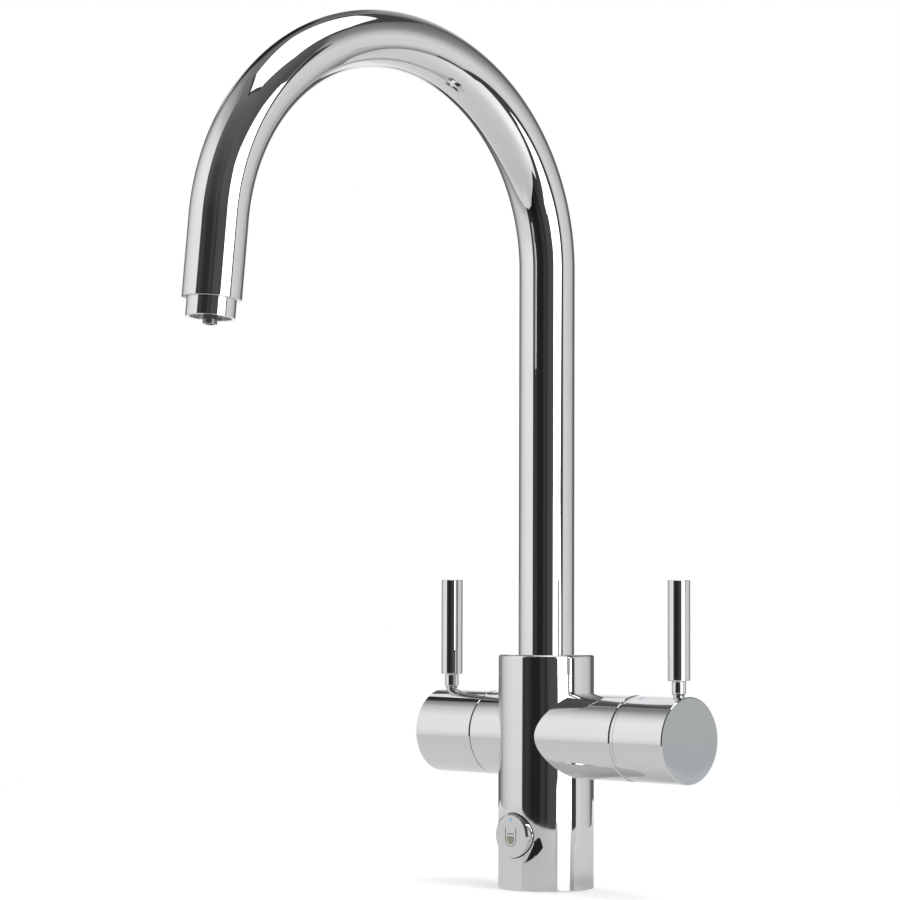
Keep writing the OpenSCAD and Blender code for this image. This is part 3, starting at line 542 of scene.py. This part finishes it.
# The wall is closed at both ends, and their rims are rounded.
open_edges = [e for e in bm.edges if len(e.link_faces) == 1]
for centre in (Vector((0, 0, tube_foot)),
               Vector((0, -neck_radius, neck_height))
               + Matrix.Rotation(neck_sweep, 3, "X") @ Vector((0, neck_radius, tail_length))):
    near = [e for e in open_edges if (e.verts[0].co - centre).length < tube_radius * 1.2]
    bmesh.ops.bridge_loops(bm, edges=near)
bmesh.ops.recalc_face_normals(bm, faces=bm.faces)
rims = [e for e in bm.edges if e.is_manifold and e.calc_face_angle(0) > math.radians(60)]
bmesh.ops.bevel(bm, geom=rims, offset=end_rounding, segments=3, profile=0.5, affect="EDGES", material=-1)
bmesh.ops.transform(bm, matrix=spout_turn, verts=bm.verts)
bright_chrome = chrome("Bright chrome")
finish_mesh("spout_tube_drawn", bm, bright_chrome, "spout", "spout_tube")


# ---------- Levers ----------
# Two turned and plated rods with a slim neck, screwed into the handle caps. The rod's ends
# are rounded, and the neck narrows to its stud where it meets the cap.

arm_height, cap_radius = 0.0716, 0.0198
rod, slim, stud, stud_depth = 0.0051, 0.00325, 0.0025, 0.008
taper_start, taper_end, rod_foot, rod_top = cap_radius + 0.0003, cap_radius + 0.0014, 0.0269, 0.0724
lever_places = (("left", -0.0621), ("right", 0.0815))


def turned(corners, sides, rounding, upright):
    """An outline of (radius, height) with its corners rounded, spun round Z and put upright.
    Extra rings beside each corner keep the flat and straight faces' shading true."""
    bm = bmesh.new()
    line = [bm.verts.new((corners[0][0], 0, corners[0][1]))]
    sharp = []
    for (r0, h0), (r1, h1) in zip(corners, corners[1:]):
        start, way = Vector((r0, 0, h0)), Vector((r1 - r0, 0, h1 - h0))
        beside = 2 * rounding / way.length
        if beside < 0.4:
            line += [bm.verts.new(start + way * share) for share in (beside, 1 - beside)]
        line.append(bm.verts.new((r1, 0, h1)))
        sharp.append(line[-1])
    for pair in zip(line, line[1:]):
        bm.edges.new(pair)
    bmesh.ops.remove_doubles(bm, verts=bm.verts, dist=1e-7)
    off_axis = [v for v in bm.verts if v in sharp and v.co.x > 0 and len(v.link_edges) == 2]
    bmesh.ops.bevel(bm, geom=off_axis, offset=rounding, segments=4, profile=0.5, affect="VERTICES",
                    material=-1)
    bmesh.ops.spin(bm, geom=bm.verts[:] + bm.edges[:], cent=(0, 0, 0), axis=(0, 0, 1), angle=2 * math.pi,
                   steps=sides, use_merge=True)
    bmesh.ops.remove_doubles(bm, verts=bm.verts, dist=1e-7)
    bmesh.ops.recalc_face_normals(bm, faces=bm.faces)
    bmesh.ops.transform(bm, matrix=upright, verts=bm.verts)
    return bm


lever_profile = [
    (0, cap_radius - stud_depth), (stud, cap_radius - stud_depth), (stud, taper_start),
    (slim, taper_end), (slim, rod_foot), (rod, rod_foot), (rod, rod_top), (0, rod_top)]
for side, x in lever_places:
    bm = turned(lever_profile, 64, 0.0004, Matrix.Translation((x, 0, arm_height)))
    finish_mesh(side + "_lever_turned", bm, bright_chrome, side + "_handle", side + "_lever")


# ---------- Handle caps and trim ring ----------
# Cups turned from brass bar and plated, one on each arm. A slim bright ring closes the
# longer arm before its cap. A thin blue bar on the right cap marks the filtered water.

for node in ("left_cap", "right_cap", "right_trim_ring"):
    dress(node, bright_chrome)

enamel = Finish("Blue enamel")
point = enamel.point()
flow = enamel.node("TexNoise", inputs={"Vector": point, "Scale": 400.0, "Detail": 2.0})
dress("right_index", enamel.coat(
    {"Roughness": 0.25, "Coat Weight": 0.4},
    Base_Color=enamel.colours(flow, (0.10, 0.09, 0.42, 1), (0.20, 0.20, 0.62, 1))))


# ---------- Outlet ----------
# A bright ring screwed into the end of the tube carries a grey plastic aerator, pierced all
# round; the dark hot water nozzle passes through its middle and stands a little proud.

tail_frame = spout_turn @ Matrix.Translation((0, -neck_radius, neck_height)) @ (
    Matrix.Rotation(neck_sweep, 4, "X") @ Matrix.Translation((0, neck_radius, 0)))
ring_radius, thread_radius, seat_radius, bore_radius = 0.0109, 0.0102, 0.0091, 0.0079
ring_start, shoulder, seat, ring_end = (tail_length + d for d in (-0.0065, -0.0005, -0.003, 0.008))
ring_profile = [(bore_radius, ring_start), (thread_radius, ring_start), (thread_radius, shoulder),
                (ring_radius, shoulder), (ring_radius, ring_end), (seat_radius, ring_end),
                (seat_radius, seat), (bore_radius, seat), (bore_radius, ring_start)]
bm = turned(ring_profile, 96, 0.0002, tail_frame)
finish_mesh("outlet_ring_turned", bm, bright_chrome, "spout", "outlet_ring")

plastic = Finish("Dark grey plastic")
point = plastic.point()
grain = plastic.node("TexNoise", inputs={"Vector": point, "Scale": 1400.0, "Detail": 3.0})
cloud = plastic.node("TexNoise", inputs={"Vector": point, "Scale": 160.0, "Detail": 2.0})
grey_plastic = plastic.coat(
    {"Specular IOR Level": 0.5},
    Base_Color=plastic.colours(cloud, (0.08, 0.08, 0.085, 1), (0.15, 0.15, 0.155, 1)),
    Roughness=0.25 + 0.3 * grain,
    Normal=plastic.node("Bump", inputs={"Strength": 0.8, "Distance": 0.00006, "Height": grain}))
for node in ("aerator", "switch_carrier", "push_switch"):
    dress(node, grey_plastic)

nozzle = Finish("Dark glossy plastic")
point = nozzle.point()
flow = nozzle.node("TexNoise", inputs={"Vector": point, "Scale": 500.0, "Detail": 2.0})
dress("hot_nozzle", nozzle.coat(
    {"Specular IOR Level": 1.0, "Coat Weight": 0.8, "Coat Roughness": 0.05},
    Base_Color=nozzle.colours(flow, (0.045, 0.045, 0.05, 1), (0.07, 0.07, 0.075, 1)),
    Roughness=0.12 + 0.1 * flow))


# ---------- Swivel stem and other brass pieces ----------
# Turned brass, left bare where the water runs: fine rings from the lathe, warm and slightly
# dull.

brass = Finish("Turned brass")
point = brass.point()
ring = brass.node("TexNoise", inputs={
    "Vector": brass.node("Mapping", inputs={"Vector": point, "Scale": (120, 120, 2400)}), "Detail": 3.0})
stain = brass.node("TexNoise", inputs={"Vector": point, "Scale": 130.0, "Detail": 4.0})
bare_brass = brass.coat(
    {"Metallic": 1.0},
    Base_Color=brass.colours((stain * 2 - 0.6).clamp(), (0.60, 0.42, 0.19, 1),
                             (0.80, 0.61, 0.32, 1)),
    Roughness=0.22 + 0.2 * ring,
    Normal=brass.node("Bump", inputs={"Strength": 0.5, "Distance": 0.00003, "Height": ring}))
for node in ("swivel_stem", "inner_tube_plug", "outlet_bush", "left_spindle", "right_spindle",
             "left_clamp_nut", "right_clamp_nut"):
    dress(node, bare_brass)


# ---------- Screws ----------
# Stainless steel, cold-formed: the spout's retaining screw, the handles' grub screws and the
# carrier's screw.

steel = Finish("Stainless steel")
point = steel.point()
brush = steel.node("TexNoise", inputs={"Vector": point, "Scale": 1100.0, "Detail": 3.0})
stainless = steel.coat(
    {"Metallic": 1.0},
    Base_Color=steel.colours(brush, (0.52, 0.52, 0.53, 1), (0.68, 0.68, 0.69, 1)),
    Roughness=0.24 + 0.16 * brush)
for node in ("spout_keeper_screw", "left_grub_screw", "right_grub_screw", "carrier_screw"):
    dress(node, stainless)


# ---------- Button's return spring ----------
# Stainless steel wire, wound into an open coil between the circuit board and the cap. On the
# real tap it shortens as the button goes in; here it is wound once, at the spring's length in the model.

spring_wire, wire_sides, spring_turns, turn_steps = 0.0007, 10, 5, 32
cap_side, board_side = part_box("button_spring")
middle = (cap_side + board_side) / 2
coil_length = board_side.y - cap_side.y - spring_wire
bm = bmesh.new()
start = Matrix.Translation((board_side.x - spring_wire / 2, board_side.y - spring_wire / 2, middle.z))
wire_end = bmesh.ops.create_circle(bm, segments=wire_sides, radius=spring_wire / 2, matrix=start)["verts"]
bmesh.ops.spin(bm, geom=wire_end + bm.edges[:], cent=middle, axis=(0, -1, 0), use_merge=False,
               angle=2 * math.pi * spring_turns, steps=spring_turns * turn_steps,
               dvec=(0, -coil_length / (spring_turns * turn_steps), 0))
bmesh.ops.holes_fill(bm, edges=[e for e in bm.edges if len(e.link_faces) == 1], sides=wire_sides)
spring = finish_mesh("button_spring_wound", bm, stainless, "tap_body", "button_spring")
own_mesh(spring)


# ---------- Slip washer, inner tube and cable socket ----------
# White food-safe plastic, moulded or drawn: slippery and waxy. The tube carries the
# near-boiling water, the washer lets the spout turn on the body.

white = Finish("White plastic")
point = white.point()
cloud = white.node("TexNoise", inputs={"Vector": point, "Scale": 220.0, "Detail": 3.0})
white_plastic = white.coat(
    {"Specular IOR Level": 0.45},
    Base_Color=white.colours(cloud, (0.80, 0.79, 0.76, 1), (0.88, 0.87, 0.85, 1)),
    Roughness=0.34 + 0.2 * cloud)
for node in ("slip_washer", "inner_tube", "cable_socket"):
    dress(node, white_plastic)


# ---------- Cartridges and discs ----------
# Cream acetal housings, glossy from the mould, and pairs of white alumina discs, lapped so
# flat that they seal on each other.

acetal = Finish("Cream acetal")
point = acetal.point()
cloud = acetal.node("TexNoise", inputs={"Vector": point, "Scale": 180.0, "Detail": 3.0})
cream = acetal.coat(
    {"Specular IOR Level": 0.5},
    Base_Color=acetal.colours(cloud, (0.72, 0.68, 0.55, 1), (0.80, 0.77, 0.66, 1)),
    Roughness=0.18 + 0.16 * cloud)
for node in ("left_cartridge", "right_cartridge"):
    dress(node, cream)

alumina = Finish("Lapped alumina")
point = alumina.point()
speck = alumina.node("TexNoise", inputs={"Vector": point, "Scale": 2600.0, "Detail": 2.0})
lapped = alumina.coat(
    {"Specular IOR Level": 0.6},
    Base_Color=alumina.colours(speck, (0.82, 0.81, 0.77, 1), (0.90, 0.89, 0.86, 1)),
    Roughness=0.10 + 0.1 * speck)
for node in ("left_fixed_disc", "left_turning_disc", "right_fixed_disc", "right_turning_disc"):
    dress(node, lapped)


# ---------- Button ----------
# A chromed disc with a bevelled rim in the front of the base. Its engraved cup sign is
# filled with taupe lacquer, hatched below the level line.

dress("button_cap", bright_chrome)

lacquer = Finish("Taupe lacquer")
level, half_width, hatch_pitch, edge = 0.0255, 0.0026, 0.0006, 0.0001
x, _, z = lacquer.xyz()
hatch = x.math("SINE", (x + z) * (2 * math.pi / hatch_pitch))
hatch = (hatch * 2.0 + 0.4).clamp()
fill = ((level - z) / edge).clamp() * x.between(-half_width, half_width, edge)
tone = lacquer.colours(hatch * fill, (0.11, 0.092, 0.07, 1), (0.42, 0.38, 0.30, 1))
dress("button_sign", lacquer.coat({"Specular IOR Level": 0.4}, Base_Color=tone,
                                  Roughness=0.45 + 0.2 * hatch * fill))


# ---------- Button's light and its lamp ----------
# A clear rod brings the board's blue lamp to the face of the button: pale cyan in its
# middle, deep blue at its rim.

guide = Finish("Blue light guide")
light_height, core_radius, core_edge = 0.0329, 0.00045, 0.0002
x, _, z = guide.xyz()
core = ((core_radius - guide.length(x, z - light_height)) / core_edge).clamp()
blue = guide.colours(core, (0.01, 0.13, 0.30, 1), (0.20, 0.72, 0.95, 1))
blue_light = guide.coat({"Roughness": 0.2, "Emission Strength": 0.5}, Base_Color=blue, Emission_Color=blue)
for node in ("button_light", "indicator_lamp"):
    dress(node, blue_light)


# ---------- Circuit board ----------
# A disc of green glass-fibre board printed with fine tracks, in the carrier behind the
# button. The push switch, the lamp and the cable socket sit on it.

board = Finish("Green board")
x, _, z = board.xyz()
weave = board.node("TexBrick", inputs={"Vector": board.node("CombineXYZ", inputs={0: x, 1: z}),
                                       "Scale": 420.0, "Color1": (0, 0, 0, 1), "Color2": (0, 0, 0, 1),
                                       "Mortar": (1, 1, 1, 1), "Mortar Size": 0.03}, out="Fac")
tracks = board.colours(weave, (0.012, 0.10, 0.045, 1), (0.05, 0.22, 0.09, 1))
dress("circuit_board", board.coat({"Roughness": 0.3, "Specular IOR Level": 0.5}, Base_Color=tracks))
